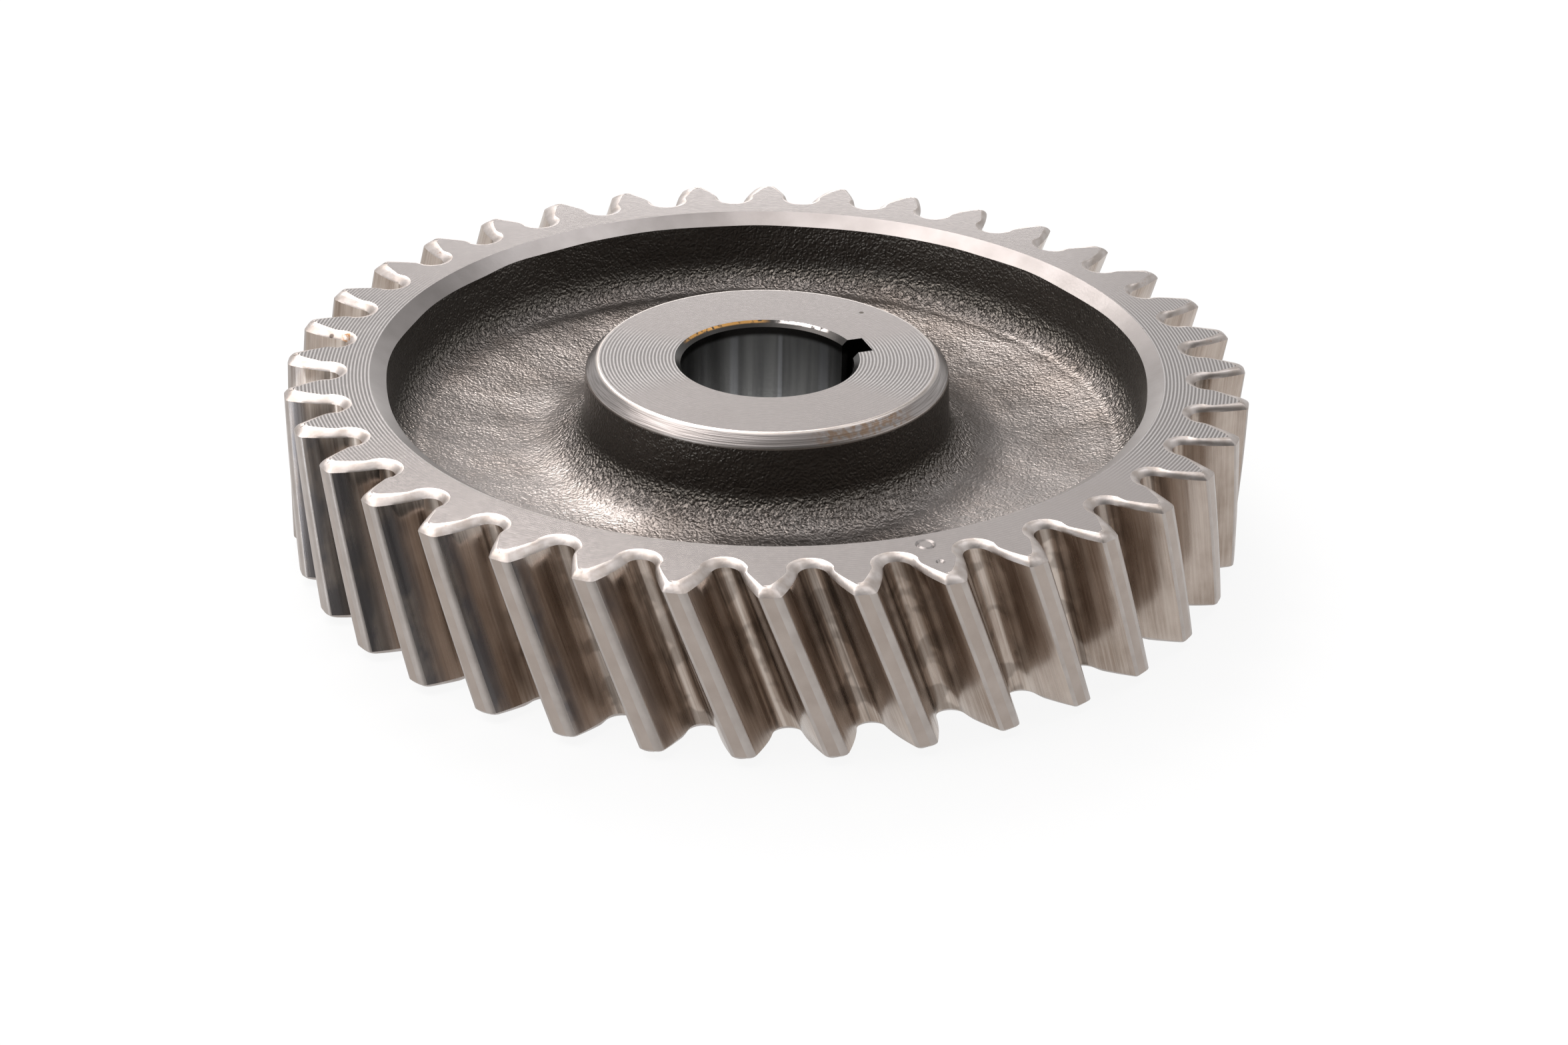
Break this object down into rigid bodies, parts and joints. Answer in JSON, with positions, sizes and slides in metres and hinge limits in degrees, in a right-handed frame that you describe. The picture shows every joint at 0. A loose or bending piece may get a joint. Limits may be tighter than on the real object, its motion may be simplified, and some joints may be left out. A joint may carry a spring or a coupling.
{
  "type": "balance shaft gear",
  "caption": "Forged steel helical gear, left hand, with a deep recessed web, a turned hub and a keyed bore. Bright turned faces, near-black forged skin.",
  "frame": {"origin": "centre of the bore at the hub's back face, so the gear lies on z = 0", "axes": "+Z runs along the bore and out of the deep recess, +X points at the keyway, and +Y is a quarter turn counter-clockwise from +X seen from the front"},
  "size_m": [0.121, 0.121, 0.0226],
  "materials": {
    "steel": "turned and hobbed faces, dark forged recesses"
  },
  "bodies": {
    "root": {"gear": "steel"}
  },
  "joints": []
}
